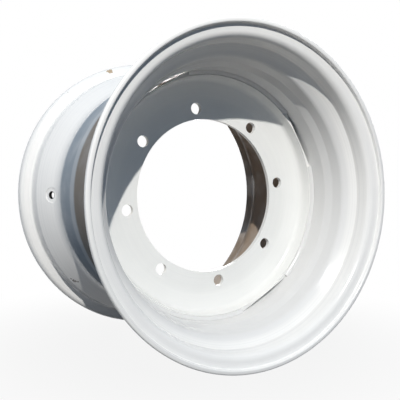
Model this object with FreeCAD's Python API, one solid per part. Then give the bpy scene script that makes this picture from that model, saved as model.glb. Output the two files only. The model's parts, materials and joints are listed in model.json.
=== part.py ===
"""Steel drop-centre wheel rim for a tractor: rolled rim, pressed disc and the weld between them.

The wheel's axis is Y, its front face looks to -Y and Z is up. The origin is on the axis,
half way between the two lips. A section is drawn as (radius, depth), with the depth
counted from the face of the front lip.
"""
import FreeCAD, Part
import math
import os

# Rim, in millimetres and degrees
bead_seat_d = 609.6     # bead seat diameter at the foot of the flange, 24 in
overall_w = 503.0       # from lip face to lip face
strip_t = 9.5           # thickness of the rolled strip
flange_h = 25.4         # lip above the bead seat
flange_out = 21.5       # foot of the flange behind the lip's face
flange_lean = 8.0       # lean of the flange from the radial plane
seat_taper = 5.0        # taper of the bead seat
seat_end = 45.5         # inside edge of the bead seat behind the lip's face
funnel_slope = 45.0     # slope from the bead seat down to the ledge
ledge_taper = 9.0       # taper of the ledge
ledge_end = 93.0        # end of the ledge behind the lip's face
ledge_h = 7.0           # end of the ledge above the well floor
well_start = 111.5      # start of the well floor behind the lip's face
rear_flange_out = 28.0  # foot of the rear flange before the rear lip's face
rear_seat_end = 58.0    # inside edge of the rear bead seat before that face
rear_well_end = 113.0   # end of the well floor before that face
well_depth = 35.3       # well floor below the bead seat
lip_bend = 2.5          # inside radius of the bend at the lip
foot_bend = 5.0         # inside radius of the bend at the foot of the flange
ledge_bend = 8.0        # inside radius of the bend from the funnel to the ledge
well_bend = 30.0        # inside radius of the bend from the rear slope to the well floor
lip_edge = 3.0          # bevel on the edges of the lip

# Valve hole, on the rear slope of the well
valve_hole_d = 15.7
valve_up = 17.0         # middle of the hole from the end of the well floor
valve_angle = 180.0     # counter-clockwise from +X, seen from the front
valve_flat_d = 34.0     # flat pressed round the hole
valve_flat_depth = 1.4

# Disc
disc_t = 9.5
disc_face = 187.5       # front of the bolting pad behind the lip's face
skirt_edge = 152.5      # front edge of the skirt behind the lip's face
skirt_flare = 8.0       # how far the skirt opens towards the front
skirt_fit = 0.3         # gap between the skirt's edge and the well floor
skirt_bend = 12.0       # inside radius of the bend from the skirt to the disc
dish = 13.0             # slope of the disc outside its pad
pad_margin = 21.0       # pad outside the bolt circle
bore_d = 326.0
bolt_hole_d = 24.0
bolt_land = 11.0        # metal between the bore and a bolt hole
bolt_holes = 8
first_bolt = 8.6        # angle of the first hole
flats = 4
first_flat = 30.0       # angle of the middle of the first flat
flat_depth = 8.0        # how much a flat takes off the skirt's edge

# Weld bead along each round stretch of the skirt's edge
weld_on_edge = 7.0      # leg on the edge of the skirt
weld_on_floor = 5.0     # leg along the well floor
weld_crown = 0.8        # how far the bead's face stands out
weld_fit = 0.3          # gap between the bead and the well floor
weld_stop = 1.0         # bead stops this far short of a flat, in degrees

ORIGIN = FreeCAD.Vector(0, 0, 0)
AXLE = FreeCAD.Vector(0, 1, 0)
TURN = FreeCAD.Vector(0, -1, 0)     # positive turns are counter-clockwise from the front
CUT_OVER = 5.0                      # how far a cutting tool stands past what it cuts

bead_r = bead_seat_d / 2
lip_r = bead_r + flange_h
well_r = bead_r - strip_t - well_depth
skirt_r = well_r - skirt_fit
bolt_r = bore_d / 2 + bolt_land + bolt_hole_d / 2
half_w = overall_w / 2


def cos(degrees):
    return math.cos(math.radians(degrees))


def spot(radius, depth):
    """Point of a section, in the plane of X and Y."""
    return FreeCAD.Vector(radius, depth - half_w, 0)


def heading(degrees):
    """Direction in a section: 0 runs to the rear, 90 runs to the axis."""
    a = math.radians(degrees)
    return FreeCAD.Vector(-math.sin(a), math.cos(a), 0)


def meet(p, p_way, q, q_way):
    """Where the line through p crosses the line through q."""
    along = (q - p).cross(q_way).z / p_way.cross(q_way).z
    return p + p_way * along


def outside_of(points, distance):
    """The same broken line, moved to its right by a distance."""
    ways = [(b - a).normalize() for a, b in zip(points, points[1:])]
    sides = [FreeCAD.Vector(w.y, -w.x, 0) * distance for w in ways]
    moved = [points[0] + sides[0]]
    for p, way, side, next_way, next_side in zip(points[1:], ways, sides, ways[1:], sides[1:]):
        moved.append(meet(p + side, way, p + next_side, next_way))
    moved.append(points[-1] + sides[-1])
    return moved


def rounded(points, radii):
    """Edges along a broken line, each inner corner rounded by its radius or by what its sides allow."""
    ways = [(b - a).normalize() for a, b in zip(points, points[1:])]
    sides = [(b - a).Length for a, b in zip(points, points[1:])]
    halves = [a.getAngle(b) / 2 for a, b in zip(ways, ways[1:])]
    reach = [0.0] + [r * math.tan(h) for r, h in zip(radii, halves)] + [0.0]
    fit = [min(1.0, 0.98 * s / max(a + b, 1e-9)) for s, a, b in zip(sides, reach, reach[1:])]
    reach = [r * min(a, b) for r, a, b in zip(reach, [1.0] + fit, fit + [1.0])]
    edges = []
    start = points[0]
    for p, way, next_way, r, half in zip(points[1:-1], ways, ways[1:], reach[1:-1], halves):
        if r == 0:
            edges.append(Part.makeLine(start, p))
            start = p
            continue
        a = p - way * r
        b = p + next_way * r
        inward = (next_way - way).normalize()
        middle = p + inward * (r / math.tan(half) * (1 / math.cos(half) - 1))
        edges.append(Part.makeLine(start, a))
        edges.append(Part.Arc(a, middle, b).toShape())
        start = b
    edges.append(Part.makeLine(start, points[-1]))
    return edges


def bent_strip(points, bends, thickness):
    """Section of a strip of one thickness. The points are on its left face, the bends are inside radii."""
    lefts = [(b - a).cross(c - b).z > 0 for a, b, c in zip(points, points[1:], points[2:])]
    near_radii = [r if left or r == 0 else r + thickness for r, left in zip(bends, lefts)]
    far_radii = [r + thickness if left and r > 0 else r for r, left in zip(bends, lefts)]
    near = rounded(points, near_radii)
    far_points = outside_of(points, thickness)
    far = rounded(far_points, far_radii)
    ends = [Part.makeLine(points[0], far_points[0]), Part.makeLine(points[-1], far_points[-1])]
    return Part.Face(Part.Wire(Part.__sortEdges__(near + far + ends)))


def turned(face, degrees=360.0, start=0.0):
    """Solid of a section turned about the wheel's axis."""
    solid = face.revolve(ORIGIN, TURN, degrees)
    solid.rotate(ORIGIN, TURN, start)
    return solid


def along(solid, degrees):
    """Copy of a solid made at +X, moved round the axis to an angle."""
    copy = solid.copy()
    copy.rotate(ORIGIN, TURN, degrees)
    return copy


def edge_section(foot_depth, seat_depth):
    """Inside corners from a lip to the end of its bead seat, drawn as on the front half."""
    lip = spot(lip_r - strip_t, 0)
    seat_way = heading(seat_taper)
    foot = spot(bead_r - strip_t / cos(seat_taper), foot_depth)
    flange_way = heading(90 - flange_lean)
    flange = spot(bead_r - strip_t / cos(seat_taper), foot_depth - strip_t / cos(flange_lean))
    lip_root = meet(lip, heading(0), flange, flange_way)
    flange_foot = meet(flange, flange_way, foot, seat_way)
    seat_edge = meet(foot, seat_way, spot(well_r, seat_depth), heading(90))
    return [lip, lip_root, flange_foot, seat_edge]


def front_section():
    """Inside corners from the front lip down the funnel and over the ledge to the well floor."""
    edge = edge_section(flange_out, seat_end)
    ledge_edge = spot(well_r + ledge_h, ledge_end)
    ledge_foot = meet(edge[-1], heading(funnel_slope), ledge_edge, heading(ledge_taper))
    return edge + [ledge_foot, ledge_edge, spot(well_r, well_start)]


def rear_section():
    """Inside corners from the well floor up the rear slope to the rear lip."""
    drawn = edge_section(rear_flange_out, rear_seat_end) + [spot(well_r, rear_well_end)]
    return [FreeCAD.Vector(p.x, -p.y, 0) for p in reversed(drawn)]


def lip_bevels():
    """Rings that take the inner and the outer edge off both lips."""
    rings = []
    for radius, across in ((lip_r, -lip_edge), (lip_r - strip_t, lip_edge)):
        corner = spot(radius, 0)
        beside = spot(radius + across, 0)
        behind = spot(radius, lip_edge)
        rings.append(turned(Part.Face(Part.makePolygon([corner, beside, behind, corner]))))
    return rings + [ring.mirror(ORIGIN, AXLE) for ring in rings]


def valve_tools():
    """Hole and pressed flat for the valve, square to the rear slope of the well."""
    floor_end, seat_edge = rear_section()[:2]
    way = (seat_edge - floor_end).normalize()
    outward = FreeCAD.Vector(way.y, -way.x, 0)
    face = floor_end + way * (valve_up / way.y) + outward * strip_t
    under = face - outward * (strip_t + CUT_OVER)
    hole = Part.makeCylinder(valve_hole_d / 2, strip_t + 2 * CUT_OVER, under, outward)
    flat = Part.makeCylinder(valve_flat_d / 2, CUT_OVER, face - outward * valve_flat_depth, outward)
    return [along(tool, valve_angle) for tool in (hole, flat)]


def make_rim():
    points = front_section() + rear_section()
    bends = [lip_bend, foot_bend, 0, ledge_bend, 0, 0, well_bend, 0, foot_bend, lip_bend]
    return turned(bent_strip(points, bends, strip_t)).cut(lip_bevels() + valve_tools())


def make_disc():
    edge = spot(skirt_r - disc_t / cos(skirt_flare), skirt_edge)
    pad_edge = spot(bolt_r + pad_margin, disc_face)
    skirt_foot = meet(edge, heading(skirt_flare), pad_edge, heading(90 - dish))
    points = [edge, skirt_foot, pad_edge, spot(bore_d / 2, disc_face)]
    disc = turned(bent_strip(points, [skirt_bend, 0], disc_t))
    depth = overall_w
    hole = Part.makeCylinder(bolt_hole_d / 2, depth, FreeCAD.Vector(bolt_r, -depth / 2, 0), AXLE)
    flat = Part.makeBox(flat_depth + CUT_OVER, depth, 2 * skirt_r,
                        FreeCAD.Vector(skirt_r - flat_depth, -depth / 2, -skirt_r))
    cuts = [along(hole, first_bolt + k * 360 / bolt_holes) for k in range(bolt_holes)]
    cuts += [along(flat, first_flat + k * 360 / flats) for k in range(flats)]
    return disc.cut(cuts)


def make_weld(k):
    """Bead on the round stretch of the skirt's edge after flat k."""
    floor_r = well_r - weld_fit
    heel = spot(floor_r, skirt_edge)
    on_edge = spot(floor_r - weld_on_edge, skirt_edge)
    on_floor = spot(floor_r, skirt_edge - weld_on_floor)
    square = FreeCAD.Vector(-weld_on_floor, -weld_on_edge, 0).normalize()
    crown = (on_edge + on_floor) * 0.5 + square * weld_crown
    face = Part.Arc(on_edge, crown, on_floor).toShape()
    section = Part.Face(Part.Wire([Part.makeLine(on_floor, heel), Part.makeLine(heel, on_edge), face]))
    half_flat = math.degrees(math.acos((skirt_r - flat_depth) / skirt_r))
    sweep = 360 / flats - 2 * (half_flat + weld_stop)
    start = first_flat + k * 360 / flats + half_flat + weld_stop
    return turned(section, sweep, start)


def main():
    os.makedirs("parts", exist_ok=True)
    make_rim().exportStep("parts/rim.step")
    make_disc().exportStep("parts/disc.step")
    for k in range(flats):
        make_weld(k).exportStep("parts/weld_bead_%d.step" % (k + 1))


main()
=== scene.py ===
"""White painted tractor wheel rim on a pale floor.

The wheel's axis is Y, its front face looks to -Y and Z is up. A section is drawn at +X as
(radius, depth) in millimetres, with the depth counted from the face of the front lip.
"""
import json
import math

import bpy
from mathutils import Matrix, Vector


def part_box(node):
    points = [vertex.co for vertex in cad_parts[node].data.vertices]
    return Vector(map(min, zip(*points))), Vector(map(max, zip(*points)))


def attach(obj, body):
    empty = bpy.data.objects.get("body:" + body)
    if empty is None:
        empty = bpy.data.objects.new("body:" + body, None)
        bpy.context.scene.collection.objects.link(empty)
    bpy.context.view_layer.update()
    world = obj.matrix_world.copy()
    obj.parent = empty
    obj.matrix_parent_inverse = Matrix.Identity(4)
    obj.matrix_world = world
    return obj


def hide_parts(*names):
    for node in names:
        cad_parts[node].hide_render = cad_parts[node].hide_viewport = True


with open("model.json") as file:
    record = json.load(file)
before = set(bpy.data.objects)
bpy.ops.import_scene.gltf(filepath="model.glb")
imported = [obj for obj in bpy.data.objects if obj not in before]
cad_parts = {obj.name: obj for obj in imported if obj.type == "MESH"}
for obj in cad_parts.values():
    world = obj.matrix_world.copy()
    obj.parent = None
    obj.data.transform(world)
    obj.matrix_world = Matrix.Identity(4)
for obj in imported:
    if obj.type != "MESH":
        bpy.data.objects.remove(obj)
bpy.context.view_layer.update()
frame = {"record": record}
MM = 0.001

# Rim section
BEAD_SEAT_D = 609.6
STRIP_T = 9.5
FLANGE_H = 25.4
FLANGE_OUT = 21.5
FLANGE_LEAN = 8.0
SEAT_TAPER = 5.0
SEAT_END = 45.5
FUNNEL_SLOPE = 45.0
LEDGE_TAPER = 9.0
LEDGE_END = 93.0
LEDGE_H = 7.0
WELL_START = 111.5
REAR_FLANGE_OUT = 28.0
REAR_SEAT_END = 58.0
REAR_WELL_END = 113.0
WELL_DEPTH = 35.3

# Bends of the rim, on its inside
LIP_BEND = 2.5
FOOT_BEND = 14.5
SEAT_BEND = 4.0
LEDGE_BEND = 18.0
STEP_BEND = 14.0
WELL_BEND = 60.0

# Valve hole
VALVE_HOLE_D = 15.7
VALVE_UP = 17.0
VALVE_FLAT_D = 34.0
VALVE_FLAT_DEPTH = 1.4

# Disc
DISC_T = 9.5
DISC_FACE = 187.5
SKIRT_EDGE = 152.5
SKIRT_FLARE = 8.0
SKIRT_FIT = 0.3
SKIRT_BEND = 12.0
DISH = 13.0
PAD_MARGIN = 21.0
PAD_BEND = 60.0
FIRST_BOLT = 8.6
FLATS = 4
FIRST_FLAT = 30.0
FLAT_DEPTH = 8.0

# Weld beads
WELD_ON_EDGE = 7.0
WELD_ON_FLOOR = 5.0
WELD_CROWN = 0.8
WELD_FIT = 0.3
WELD_STOP = 1.0

# Soft edges: width, the angle from which an edge is softened, and steps
LIP_EDGE = (3.0, 60.0, 4)
DISC_EDGE = (0.8, 50.0, 2)

# Cuts and smoothness
CUT_OVER = 10.0         # how far the valve's cutters reach past the metal
SLIVER = 0.02           # points nearer to each other than this are joined after the cuts
SEAM = 0.01             # the same for the points where a turn ends on its start
GAP_SIDES = 4
ROUND_STEPS = 180
WELD_STEPS = 160
BEND_STEPS = 5
CUTTER_SIDES = 48
SMOOTH_BELOW = 35.0
WELD_SMOOTH_BELOW = 40.0

# Paint, stains and painted shade
RIM_WHITE = (0.91, 0.905, 0.89, 1)
# darker copy of the white, painted shade on the front well floor and the ledge
SHADED_WELL_WHITE = (0.77, 0.77, 0.765, 1)
DISC_WHITE = (0.865, 0.868, 0.85, 1)
# darker copy of the white paint for the weld beads, painted shade of their hollow faces
WELD_SHADED_WHITE = (0.74, 0.74, 0.735, 1)
PAINT_STREAK = (0.66, 0.67, 0.68, 1)
# brown painted inside the rear barrel, standing in for bounce light from brown ground
BARREL_BROWN_BOUNCE = (0.40, 0.31, 0.235, 1)
WELL_BROWN = (0.27, 0.235, 0.20, 1)
WELL_BLUE_GREY = (0.32, 0.37, 0.42, 1)
RUST = (0.46, 0.36, 0.25, 1)
# dark colour for scuffs, and for a painted shadow line in the lower-left groove
SCUFF_AND_SHADOW = (0.20, 0.19, 0.18, 1)
# near black, painted shade inside the valve hole
HOLE_SHADE = (0.02, 0.02, 0.02, 1)
RIM_STREAKS = 0.2
DISC_STREAKS = 0.08
DARKEST_TONE = 0.95
GLOSS = 0.3
ROUGHNESS = (0.14, 0.24)
BUMP_STRENGTH = 0.10
BUMP_DEPTH = 0.5
PEEL_SHARE = 0.5

# Noises, as scale and detail, and the range that is used of them
STREAK_NOISE = (260.0, 4.0)
STREAK_RANGE = (0.55, 0.3)
TONE_NOISE = (5.0, 3.0)
ROUGH_NOISE = (24.0, 4.0)
PEEL_NOISE = (520.0, 2.0)
MARK_NOISE = (260.0, 3.0)
MIDDLE_RANGE = (0.3, 0.7)
CLOUD_NOISE = (14.0, 4.0)
CLOUD_RANGE = (0.25, 0.6)
CLOUD_THIN = 0.75

# Painted shade: a darker white on the front half of the well floor and on the ledge
WELL_SHADE_TO = -0.02         # along the axis, how far it is full
WELL_SHADE_STOP = 0.0
WELL_SHADE_RISE = 14.0        # over the well floor, how far it is full
WELL_SHADE_TOP = 28.0

# Darker blue-grey and brown bands on the tyre side of the well floor
BLUE_GREY_SHARE = 0.9
BAND_FADE = 0.036       # before the end of the well floor, where the bands begin to fade
BAND_STOP = 0.016
BLUE_GREY_THIN = 0.65        # share of the blue-grey that is left beside the brown
THIN_TO = 0.034         # along the axis, how far the blue-grey is thin
THICK_FROM = 0.044
BROWN_FULL = 0.004      # along the axis, how far the brown is full
BROWN_STOP = 0.018
BROWN_SHARE = 0.92
SEEN_TO = -0.02         # across the axis, how far the bands are full
HIDDEN_FROM = 0.14
HIDDEN_SHARE = 0.25
HOLE_DARK = 9.4         # radius of the painted shade in the valve hole, from the middle of the wall
HOLE_FADE = 0.5

# Marks on the rim: place in metres, radius in millimetres and colour
RIM_MARKS = [
    (Vector((-0.1109, 0.2262, 0.3040)), 7.0, RUST),
    (Vector((-0.2192, 0.2262, 0.2468)), 5.0, SCUFF_AND_SHADOW),
    (Vector((-0.2906, 0.2262, 0.1527)), 3.0, RUST),
    # painted shadow: four spots in a row in the groove by the rear flange, a dark line where shade
    # begins
    (Vector((-0.2235, 0.1844, -0.1970)), 2.6, SCUFF_AND_SHADOW),
    (Vector((-0.2192, 0.1830, -0.2009)), 3.2, SCUFF_AND_SHADOW),
    (Vector((-0.2152, 0.1807, -0.2030)), 3.2, SCUFF_AND_SHADOW),
    (Vector((-0.2107, 0.1759, -0.2039)), 2.6, SCUFF_AND_SHADOW),
    (Vector((0.3293, -0.2515, 0.0290)), 4.0, SCUFF_AND_SHADOW),
]
MARK_RAGGED = 0.4       # parts of a mark's radius
MARK_CORE = 0.8
MARK_EDGE = 1.1

# Floor, light and camera
FLOOR_SHADE = (0.045, 0.042, 0.04, 1)
FLOOR_R = 30.0
FLOOR_SIDES = 64
SHADOW_NEAR = 0.2
SHADOW_FAR = 0.8
SHADOW_WHITE = 0.90     # share of white in the floor beside the wheel
SKY = (0.14, 0.50, 1.0, 1)
SKY_STRENGTH = 0.20
WHITE = (1, 1, 1, 1)
SUNNY = (1.0, 0.975, 0.93)
WARM = (1.0, 0.985, 0.96)
CAMERA_PLACE = (-0.6147, -1.1277, 0.0247)
CAMERA_LOOK = Vector((0.48878, 0.87196, -0.02786))
CAMERA_LENS = 51.65
CAMERA_SENSOR = 36.0

mounts = {m["name"]: m["dims"] for m in frame["record"]["mounts"]}
BORE_R = mounts["hub_bore"]["r_mm"]
BOLT_CIRCLE_R = mounts["wheel_bolts"]["pcd_mm"] / 2
BOLT_HOLE_R = mounts["wheel_bolts"]["hole_r_mm"]
BOLT_HOLES = mounts["wheel_bolts"]["count"]

rim_low, rim_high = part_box("rim")
OVERALL_W = (rim_high.y - rim_low.y) / MM
HALF_W = OVERALL_W / 2
BEAD_R = BEAD_SEAT_D / 2
LIP_R = BEAD_R + FLANGE_H
WELL_R = BEAD_R - STRIP_T - WELL_DEPTH
SKIRT_R = WELL_R - SKIRT_FIT
ALONG_AXIS = Vector((0, 1, 0))


# Section geometry

def spot(radius, depth):
    return Vector((radius, depth - HALF_W, 0)) * MM


def heading(degrees):
    """Direction in a section: 0 runs to the rear, 90 runs to the axis."""
    a = math.radians(degrees)
    return Vector((-math.sin(a), math.cos(a), 0))


def meet(p, p_way, q, q_way):
    """Where the line through p crosses the line through q."""
    along = (q - p).cross(q_way).z / p_way.cross(q_way).z
    return p + p_way * along


def cos(degrees):
    return math.cos(math.radians(degrees))


def polar(radius, degrees, y):
    """Point at an angle counter-clockwise from +X, seen from the front."""
    a = math.radians(degrees)
    return Vector((radius * math.cos(a), y, radius * math.sin(a)))


def rounded(points, radii):
    """Points along a broken line, each inner corner rounded to a bend of its radius."""
    line = [points[0]]
    for a, p, b, radius in zip(points, points[1:], points[2:], radii):
        way = (p - a).normalized()
        next_way = (b - p).normalized()
        turn = way.angle(next_way)
        along = (way + next_way).normalized()
        inward = (next_way - way).normalized()
        centre = p + inward * radius * MM / math.cos(turn / 2)
        for k in range(BEND_STEPS + 1):
            t = turn * (k / BEND_STEPS - 0.5)
            line.append(centre + (along * math.sin(t) - inward * math.cos(t)) * radius * MM)
    line.append(points[-1])
    return line


# Modelling by operators

def pick(obj):
    """Selects one object alone and makes it the active one."""
    bpy.ops.object.select_all(action='DESELECT')
    obj.select_set(True)
    bpy.context.view_layer.objects.active = obj


def edit(obj):
    """Opens a mesh in edit mode with all its points selected."""
    pick(obj)
    bpy.ops.object.mode_set(mode='EDIT')
    bpy.ops.mesh.select_mode(type='VERT')
    bpy.ops.mesh.select_all(action='SELECT')


def leave():
    bpy.ops.object.mode_set(mode='OBJECT')


def drawn_line(name, points):
    """One vertex drawn out along a section's corners."""
    bpy.ops.object.select_all(action='DESELECT')
    bpy.ops.mesh.primitive_plane_add(size=1)
    obj = bpy.context.active_object
    obj.name = name
    edit(obj)
    bpy.ops.mesh.merge(type='CENTER')
    bpy.ops.transform.translate(value=points[0])
    for a, b in zip(points, points[1:]):
        bpy.ops.mesh.extrude_vertices_move(TRANSFORM_OT_translate={"value": b - a})
    leave()
    return obj


def spin_round(obj, steps, degrees=360.0):
    """Turns a drawn section about the wheel's axis."""
    edit(obj)
    bpy.ops.mesh.spin(steps=steps, angle=math.radians(degrees), center=(0, 0, 0), axis=ALONG_AXIS)
    bpy.ops.mesh.select_all(action='SELECT')
    bpy.ops.mesh.remove_doubles(threshold=SEAM * MM)
    bpy.ops.mesh.normals_make_consistent(inside=False)
    leave()


def away_from_axis(face):
    """How much of a face looks away from the axis; below zero it looks towards it."""
    return (face.normal.x * face.center.x + face.normal.z * face.center.z) * face.area


def face_the_axis(obj):
    """Turns an open shell's faces towards the axis."""
    widest = max(obj.data.polygons, key=lambda face: abs(away_from_axis(face)))
    if away_from_axis(widest) > 0:
        edit(obj)
        bpy.ops.mesh.flip_normals()
        leave()


def apply(obj, modifier):
    pick(obj)
    bpy.ops.object.modifier_apply(modifier=modifier.name)


def thicken(obj, thickness):
    """Gives a shell its plate thickness behind the face that was drawn."""
    wall = obj.modifiers.new("plate", 'SOLIDIFY')
    wall.thickness = thickness * MM
    wall.offset = -1
    wall.use_even_offset = True
    apply(obj, wall)


def cut_away(obj, cutters):
    """Cuts each cutter out of a piece, and removes it."""
    for cutter in cutters:
        cut = obj.modifiers.new("cut", 'BOOLEAN')
        cut.operation = 'DIFFERENCE'
        cut.solver = 'EXACT'
        cut.object = cutter
        apply(obj, cut)
        bpy.data.objects.remove(cutter)


def soften_edges(obj, width, sharp_degrees, segments):
    bevel = obj.modifiers.new("soft_edge", 'BEVEL')
    bevel.width = width * MM
    bevel.segments = segments
    bevel.limit_method = 'ANGLE'
    bevel.angle_limit = math.radians(sharp_degrees)
    apply(obj, bevel)


def join_slivers(obj):
    """Joins points that a cut or a bevel left nearly in one place, and closes the surface again."""
    edit(obj)
    bpy.ops.mesh.remove_doubles(threshold=SLIVER * MM)
    bpy.ops.mesh.dissolve_degenerate(threshold=SLIVER * MM)
    bpy.ops.mesh.fill_holes(sides=GAP_SIDES)
    leave()


def smooth(obj, degrees):
    pick(obj)
    bpy.ops.object.shade_smooth_by_angle(angle=math.radians(degrees))


def rod(radius, length, middle, way):
    """Round cutter along a direction."""
    bpy.ops.object.select_all(action='DESELECT')
    turn = way.to_track_quat('Z', 'Y').to_euler()
    bpy.ops.mesh.primitive_cylinder_add(
        vertices=CUTTER_SIDES, radius=radius * MM, depth=length * MM, location=middle, rotation=turn)
    return bpy.context.active_object


def block(size, middle, degrees):
    """Square cutter turned about the wheel's axis."""
    bpy.ops.object.select_all(action='DESELECT')
    turn = (0, -math.radians(degrees), 0)
    bpy.ops.mesh.primitive_cube_add(size=1, location=middle, rotation=turn, scale=size)
    return bpy.context.active_object


def finish_piece(obj, replaced, material):
    obj.data.materials.clear()
    obj.data.materials.append(material)
    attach(obj, "root")
    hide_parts(replaced)


# Rim

def edge_section(foot_depth, seat_depth):
    """Inside corners from a lip to the end of its bead seat, drawn as on the front half."""
    inside_foot = BEAD_R - STRIP_T / cos(SEAT_TAPER)
    lip = spot(LIP_R - STRIP_T, 0)
    foot = spot(inside_foot, foot_depth)
    flange = spot(inside_foot, foot_depth - STRIP_T / cos(FLANGE_LEAN))
    flange_way = heading(90 - FLANGE_LEAN)
    lip_root = meet(lip, heading(0), flange, flange_way)
    flange_foot = meet(flange, flange_way, foot, heading(SEAT_TAPER))
    seat_edge = meet(foot, heading(SEAT_TAPER), spot(WELL_R, seat_depth), heading(90))
    return [lip, lip_root, flange_foot, seat_edge]


def front_section():
    """Inside corners from the front lip down the funnel and over the ledge to the well floor."""
    edge = edge_section(FLANGE_OUT, SEAT_END)
    ledge_edge = spot(WELL_R + LEDGE_H, LEDGE_END)
    ledge_foot = meet(edge[-1], heading(FUNNEL_SLOPE), ledge_edge, heading(LEDGE_TAPER))
    return edge + [ledge_foot, ledge_edge, spot(WELL_R, WELL_START)]


def rear_section():
    """Inside corners from the well floor up the rear slope to the rear lip."""
    drawn = edge_section(REAR_FLANGE_OUT, REAR_SEAT_END) + [spot(WELL_R, REAR_WELL_END)]
    return [Vector((p.x, -p.y, 0)) for p in reversed(drawn)]


def valve_place():
    """Middle of the valve hole on the tyre side of the rear slope, and the way out of it."""
    floor_end, seat_edge = rear_section()[:2]
    way = (seat_edge - floor_end).normalized()
    out = Vector((-way.y, -way.x, 0))
    inside = floor_end + way * (VALVE_UP * MM / way.y)
    return Vector((-inside.x, inside.y, 0)) + out * STRIP_T * MM, out


def valve_cutters():
    """Hole and pressed flat for the valve."""
    face, out = valve_place()
    flat_middle = face + out * (CUT_OVER / 2 - VALVE_FLAT_DEPTH) * MM
    hole = rod(VALVE_HOLE_D / 2, 2 * (STRIP_T + CUT_OVER), face, out)
    return [hole, rod(VALVE_FLAT_D / 2, CUT_OVER, flat_middle, out)]


def make_rim(material):
    front_bends = [LIP_BEND, FOOT_BEND, SEAT_BEND, LEDGE_BEND, STEP_BEND, STEP_BEND]
    rear_bends = [WELL_BEND, SEAT_BEND, FOOT_BEND, LIP_BEND]
    section = rounded(front_section() + rear_section(), front_bends + rear_bends)
    rim = drawn_line("rim_shell", section)
    spin_round(rim, ROUND_STEPS)
    face_the_axis(rim)
    thicken(rim, STRIP_T)
    soften_edges(rim, *LIP_EDGE)
    cut_away(rim, valve_cutters())
    join_slivers(rim)
    smooth(rim, SMOOTH_BELOW)
    finish_piece(rim, "rim", material)


# Disc

def bolt_cutters():
    angles = [FIRST_BOLT + k * 360 / BOLT_HOLES for k in range(BOLT_HOLES)]
    middles = [polar(BOLT_CIRCLE_R * MM, angle, 0) for angle in angles]
    return [rod(BOLT_HOLE_R, OVERALL_W, middle, ALONG_AXIS) for middle in middles]


def flat_cutters():
    """Blocks that take the flats off the edge of the skirt."""
    size = (4 * FLAT_DEPTH * MM, OVERALL_W * MM, 2 * SKIRT_R * MM)
    angles = [FIRST_FLAT + k * 360 / FLATS for k in range(FLATS)]
    return [block(size, polar((SKIRT_R + FLAT_DEPTH) * MM, angle, 0), angle) for angle in angles]


def make_disc(material):
    edge = spot(SKIRT_R - DISC_T / cos(SKIRT_FLARE), SKIRT_EDGE)
    pad_edge = spot(BOLT_CIRCLE_R + PAD_MARGIN, DISC_FACE)
    skirt_foot = meet(edge, heading(SKIRT_FLARE), pad_edge, heading(90 - DISH))
    points = [edge, skirt_foot, pad_edge, spot(BORE_R, DISC_FACE)]
    disc = drawn_line("disc_plate", rounded(points, [SKIRT_BEND, PAD_BEND]))
    spin_round(disc, ROUND_STEPS)
    face_the_axis(disc)
    thicken(disc, DISC_T)
    cut_away(disc, bolt_cutters() + flat_cutters())
    soften_edges(disc, *DISC_EDGE)
    join_slivers(disc)
    smooth(disc, SMOOTH_BELOW)
    finish_piece(disc, "disc", material)


# Weld beads

def weld_section():
    """Corners of a bead: its heel, then its round face from the skirt's edge to the well floor."""
    floor_r = WELL_R - WELD_FIT
    heel = spot(floor_r, SKIRT_EDGE)
    on_edge = spot(floor_r - WELD_ON_EDGE, SKIRT_EDGE)
    on_floor = spot(floor_r, SKIRT_EDGE - WELD_ON_FLOOR)
    square = Vector((-WELD_ON_FLOOR, -WELD_ON_EDGE, 0)).normalized()
    shares = [k / BEND_STEPS for k in range(BEND_STEPS + 1)]
    face = [on_edge.lerp(on_floor, t) + square * WELD_CROWN * MM * 4 * t * (1 - t) for t in shares]
    return [heel] + face


def weld_stretch(number):
    """Angle at which a bead starts after its flat, and the angle that it runs through."""
    half_flat = math.degrees(math.acos((SKIRT_R - FLAT_DEPTH) / SKIRT_R))
    start = FIRST_FLAT + (number - 1) * 360 / FLATS + half_flat + WELD_STOP
    return start, 360 / FLATS - 2 * (half_flat + WELD_STOP)


def make_weld(number, material):
    """Bead on the round stretch of the skirt's edge after a flat."""
    start, sweep = weld_stretch(number)
    bead = drawn_line("weld_%d" % number, weld_section())
    edit(bead)
    bpy.ops.mesh.edge_face_add()
    bpy.ops.transform.rotate(value=math.radians(start), orient_axis='Y', center_override=(0, 0, 0))
    leave()
    spin_round(bead, WELD_STEPS, sweep)
    smooth(bead, WELD_SMOOTH_BELOW)
    finish_piece(bead, "weld_bead_%d" % number, material)


# Materials

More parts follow.
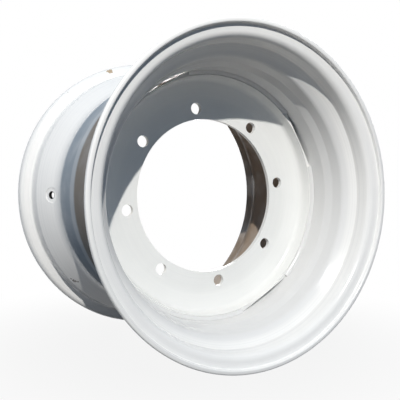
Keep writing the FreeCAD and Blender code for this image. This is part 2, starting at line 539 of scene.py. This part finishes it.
class Graph:
    """Short ways to add linked nodes to a node tree."""

    def __init__(self, tree):
        self.tree = tree
        tree.nodes.clear()

    def add(self, kind, **settings):
        node = self.tree.nodes.new(kind)
        for name, value in settings.items():
            setattr(node, name, value)
        return node

    def feed(self, socket, value):
        """Links an output to a socket, or sets a constant on it."""
        if isinstance(value, bpy.types.NodeSocket):
            self.tree.links.new(value, socket)
        else:
            socket.default_value = value

    def calc(self, operation, a, b=0.0):
        node = self.add("ShaderNodeMath", operation=operation)
        self.feed(node.inputs[0], a)
        self.feed(node.inputs[1], b)
        return node.outputs[0]

    def times(self, first, *others):
        """Product of several shares."""
        for other in others:
            first = self.calc('MULTIPLY', first, other)
        return first

    def vector(self, operation, a, b=(0, 0, 0)):
        node = self.add("ShaderNodeVectorMath", operation=operation)
        self.feed(node.inputs[0], a)
        self.feed(node.inputs[1], b)
        return node

    def step(self, value, low, high, start=0.0, end=1.0):
        """Soft step from start to end while the value goes from low to high."""
        node = self.add("ShaderNodeMapRange", interpolation_type='SMOOTHSTEP')
        self.feed(node.inputs["Value"], value)
        node.inputs["From Min"].default_value = low
        node.inputs["From Max"].default_value = high
        node.inputs["To Min"].default_value = start
        node.inputs["To Max"].default_value = end
        return node.outputs["Result"]

    def noise(self, place, scale, detail):
        node = self.add("ShaderNodeTexNoise")
        self.feed(node.inputs["Vector"], place)
        node.inputs["Scale"].default_value = scale
        node.inputs["Detail"].default_value = detail
        return node.outputs["Fac"]

    def blend(self, share, a, b):
        """Colour between a and b."""
        node = self.add("ShaderNodeMix", data_type='RGBA')
        self.feed(node.inputs[0], share)
        self.feed(node.inputs[6], a)
        self.feed(node.inputs[7], b)
        return node.outputs[2]

    def seen_directly(self):
        """1 for the rays that show the background: straight, mirrored or let through."""
        rays = self.add("ShaderNodeLightPath").outputs
        mirrored = self.calc('MAXIMUM', rays["Is Glossy Ray"], rays["Is Transmission Ray"])
        return self.calc('MAXIMUM', rays["Is Camera Ray"], mirrored)

    def either(self, share, a, b, out):
        """Shader b by its share, shader a for the rest, into an output."""
        node = self.add("ShaderNodeMixShader")
        self.feed(node.inputs["Fac"], share)
        self.feed(node.inputs[1], a)
        self.feed(node.inputs[2], b)
        self.feed(self.add(out).inputs["Surface"], node.outputs[0])


def new_material(name):
    material = bpy.data.materials.new(name)
    material.use_nodes = True
    return material, Graph(material.node_tree)


def wheel_places(graph):
    """Object coordinates, and with them the radius and the places across and along the axis."""
    place = graph.add("ShaderNodeTexCoord").outputs["Object"]
    across = graph.vector('MULTIPLY', place, (1, 0, 1)).outputs[0]
    radius = graph.vector('LENGTH', across).outputs["Value"]
    parts = graph.add("ShaderNodeSeparateXYZ")
    graph.feed(parts.inputs[0], place)
    return place, radius, parts.outputs["X"], parts.outputs["Y"]


def turned_noise(graph, radius, depth):
    """Noise that is the same all the way round the axis."""
    ring = graph.add("ShaderNodeCombineXYZ")
    graph.feed(ring.inputs["X"], radius)
    graph.feed(ring.inputs["Y"], depth)
    return graph.noise(ring.outputs[0], *STREAK_NOISE)


def mark_mask(graph, place, point, size):
    """Small ragged mark round a point."""
    away = graph.vector('DISTANCE', place, point).outputs["Value"]
    reach = MARK_RAGGED * size * MM
    ragged = graph.step(graph.noise(place, *MARK_NOISE), *MIDDLE_RANGE, -reach, reach)
    edge = graph.calc('ADD', away, ragged)
    return graph.step(edge, MARK_CORE * size * MM, MARK_EDGE * size * MM, 1.0, 0.0)


def tyre_side_mask(graph, radius, depth):
    """1 on the tyre side of the well floor and the rear slope, 0 on their inside."""
    floor_end, seat_edge = rear_section()[:2]
    rise = graph.step(depth, floor_end.y, seat_edge.y, 0.0, seat_edge.x - floor_end.x)
    middle = (WELL_R + STRIP_T / 2) * MM
    return graph.step(graph.calc('SUBTRACT', radius, rise), middle - MM, middle + MM)


def well_shade_mask(graph, radius, depth):
    """Front half of the well floor, and the ledge, where the white is darkened as painted shade."""
    low = graph.step(radius, (WELL_R + WELL_SHADE_RISE) * MM, (WELL_R + WELL_SHADE_TOP) * MM, 1.0, 0.0)
    return graph.times(low, graph.step(depth, WELL_SHADE_TO, WELL_SHADE_STOP, 1.0, 0.0))


def well_mask(graph, outside, side, depth):
    """Tyre side of the well floor, weaker on the hidden side of the wheel."""
    floor_end = rear_section()[0].y
    aside = graph.calc('ABSOLUTE', depth)
    floor = graph.step(aside, floor_end - BAND_FADE, floor_end - BAND_STOP, 1.0, 0.0)
    return graph.times(outside, floor, graph.step(side, SEEN_TO, HIDDEN_FROM, 1.0, HIDDEN_SHARE))


def barrel_mask(graph, outside, depth):
    """Inside of the barrel behind the disc."""
    disc_front = spot(0, DISC_FACE).y
    rear = graph.step(depth, disc_front, disc_front + DISC_T * MM)
    return graph.times(graph.calc('SUBTRACT', 1.0, outside), rear)


def hole_shade_mask(graph, place):
    """Wall of the valve hole, where near black is painted as shade."""
    face, out = valve_place()
    wall_middle = face - out * (STRIP_T + VALVE_FLAT_DEPTH) / 2 * MM
    away = graph.vector('DISTANCE', place, wall_middle).outputs["Value"]
    return graph.step(away, HOLE_DARK * MM, (HOLE_DARK + HOLE_FADE) * MM, 1.0, 0.0)


def bands_and_painted_shade(graph, radius, side, depth, place, colour):
    """Darker blue-grey and brown bands on the tyre side of the well, painted brown bounce light
    inside the rear of the barrel, and painted shade in the valve hole.

    Gives the colour, and the share of the surface that is matt.
    """
    outside = tyre_side_mask(graph, radius, depth)
    cloudy = graph.step(graph.noise(place, *CLOUD_NOISE), *CLOUD_RANGE, CLOUD_THIN, 1.0)
    # painted shade: the front well floor and the ledge take the darker white
    colour = graph.blend(well_shade_mask(graph, radius, depth), colour, SHADED_WELL_WHITE)
    # darker blue-grey band, then a brown band nearer the front, on the tyre side of the well
    well = well_mask(graph, outside, side, depth)
    thick = graph.step(depth, THIN_TO, THICK_FROM, BLUE_GREY_THIN, BLUE_GREY_SHARE)
    colour = graph.blend(graph.times(well, cloudy, thick), colour, WELL_BLUE_GREY)
    brown = graph.step(depth, BROWN_FULL, BROWN_STOP, BROWN_SHARE, 0.0)
    colour = graph.blend(graph.times(well, brown, cloudy), colour, WELL_BROWN)
    # painted reflection: brown bounce light on the inside of the rear barrel
    barrel = graph.times(barrel_mask(graph, outside, depth), cloudy)
    colour = graph.blend(barrel, colour, BARREL_BROWN_BOUNCE)
    # painted shade: the valve hole's wall goes near black
    hole = hole_shade_mask(graph, place)
    matt = graph.calc('MAXIMUM', well, graph.calc('MAXIMUM', barrel, hole))
    return graph.blend(hole, colour, HOLE_SHADE), matt


def painted_normal(graph, place, turned, streaks):
    """Fine bumps of the paint and of its turned streaks."""
    bump = graph.add("ShaderNodeBump")
    bump.inputs["Strength"].default_value = BUMP_STRENGTH
    bump.inputs["Distance"].default_value = BUMP_DEPTH * MM
    peel = graph.times(graph.noise(place, *PEEL_NOISE), PEEL_SHARE)
    graph.feed(bump.inputs["Height"], graph.calc('ADD', peel, graph.times(turned, streaks)))
    return bump.outputs["Normal"]


def paint(name, light, streaks, marks=(), with_bands_and_shade=False):
    """White gloss paint with fine turned streaks, an uneven tone and a few marks; where asked, also
    the bands of the well and the painted shade and bounce light.
    """
    material, graph = new_material(name)
    place, radius, side, depth = wheel_places(graph)
    turned = turned_noise(graph, radius, depth)
    tone = graph.step(graph.noise(place, *TONE_NOISE), *MIDDLE_RANGE)
    colour = graph.blend(tone, [DARKEST_TONE * c for c in light[:3]] + [1], light)
    colour = graph.blend(graph.step(turned, *STREAK_RANGE, 0.0, streaks), colour, PAINT_STREAK)
    shader = graph.add("ShaderNodeBsdfPrincipled")
    shader.inputs["Specular IOR Level"].default_value = GLOSS
    if with_bands_and_shade:
        colour, matt = bands_and_painted_shade(graph, radius, side, depth, place, colour)
        gloss = graph.times(graph.calc('SUBTRACT', 1.0, matt), GLOSS)
        graph.feed(shader.inputs["Specular IOR Level"], gloss)
    for point, size, stain in marks:
        colour = graph.blend(mark_mask(graph, place, point, size), colour, stain)
    rough = graph.step(graph.noise(place, *ROUGH_NOISE), *MIDDLE_RANGE, *ROUGHNESS)
    graph.feed(shader.inputs["Base Color"], colour)
    graph.feed(shader.inputs["Roughness"], rough)
    graph.feed(shader.inputs["Normal"], painted_normal(graph, place, turned, streaks))
    graph.feed(graph.add("ShaderNodeOutputMaterial").inputs["Surface"], shader.outputs[0])
    return material


# Floor, light and camera

def floor_material():
    """Pale floor that keeps the wheel's shadow near it and fades to white away from it."""
    material, graph = new_material("pale_floor")
    matt = graph.add("ShaderNodeBsdfDiffuse")
    matt.inputs["Color"].default_value = FLOOR_SHADE
    white = graph.add("ShaderNodeEmission")
    white.inputs["Strength"].default_value = 1.0
    place = graph.add("ShaderNodeTexCoord").outputs["Object"]
    away = graph.vector('LENGTH', place).outputs["Value"]
    fade = graph.step(away, SHADOW_NEAR, SHADOW_FAR, SHADOW_WHITE, 1.0)
    share = graph.times(graph.seen_directly(), fade)
    graph.either(share, matt.outputs[0], white.outputs[0], "ShaderNodeOutputMaterial")
    return material


def make_floor():
    bpy.ops.object.select_all(action='DESELECT')
    bpy.ops.mesh.primitive_circle_add(
        vertices=FLOOR_SIDES, radius=FLOOR_R, fill_type='NGON', location=(0, 0, rim_low.z))
    floor = bpy.context.active_object
    floor.name = "floor"
    floor.data.materials.append(floor_material())


def make_world():
    """Weak sky light on the wheel, and white wherever the background is seen."""
    world = bpy.data.worlds.new("studio")
    bpy.context.scene.world = world
    world.use_nodes = True
    graph = Graph(world.node_tree)
    sky = graph.add("ShaderNodeBackground")
    sky.inputs["Color"].default_value = SKY
    sky.inputs["Strength"].default_value = SKY_STRENGTH
    white = graph.add("ShaderNodeBackground")
    white.inputs["Color"].default_value = WHITE
    white.inputs["Strength"].default_value = 1.0
    graph.either(graph.seen_directly(), sky.outputs[0], white.outputs[0], "ShaderNodeOutputWorld")


def make_lamp(name, way, distance, size, power, colour):
    lamp = bpy.data.lights.new(name, 'AREA')
    lamp.shape = 'DISK'
    lamp.size = size
    lamp.energy = power
    lamp.color = colour
    obj = bpy.data.objects.new(name, lamp)
    bpy.context.scene.collection.objects.link(obj)
    obj.location = Vector(way).normalized() * distance
    obj.rotation_euler = (-obj.location).to_track_quat('-Z', 'Y').to_euler()


def make_camera():
    camera = bpy.data.objects.new("camera", bpy.data.cameras.new("camera"))
    bpy.context.scene.collection.objects.link(camera)
    camera.data.sensor_width = CAMERA_SENSOR
    camera.data.lens = CAMERA_LENS
    camera.location = CAMERA_PLACE
    camera.rotation_euler = CAMERA_LOOK.to_track_quat('-Z', 'Y').to_euler()
    bpy.context.scene.camera = camera


make_rim(paint("rim_white", RIM_WHITE, RIM_STREAKS, RIM_MARKS, with_bands_and_shade=True))
make_disc(paint("disc_white", DISC_WHITE, DISC_STREAKS))
# the beads' darker white is painted shade
weld_white = paint("weld_white", WELD_SHADED_WHITE, streaks=0.0)
for number in range(1, FLATS + 1):
    make_weld(number, weld_white)
make_floor()
make_world()
make_lamp("key", way=(-0.34, -0.73, 0.59), distance=3.2, size=0.06, power=99, colour=SUNNY)
make_lamp("back", way=(0.62, 0.9, 0.35), distance=3.4, size=1.8, power=70, colour=WARM)
make_lamp("fill", way=(-0.95, -0.15, 0.0), distance=2.6, size=1.0, power=9, colour=WARM)
make_camera()
bpy.context.scene.view_settings.view_transform = 'Standard'
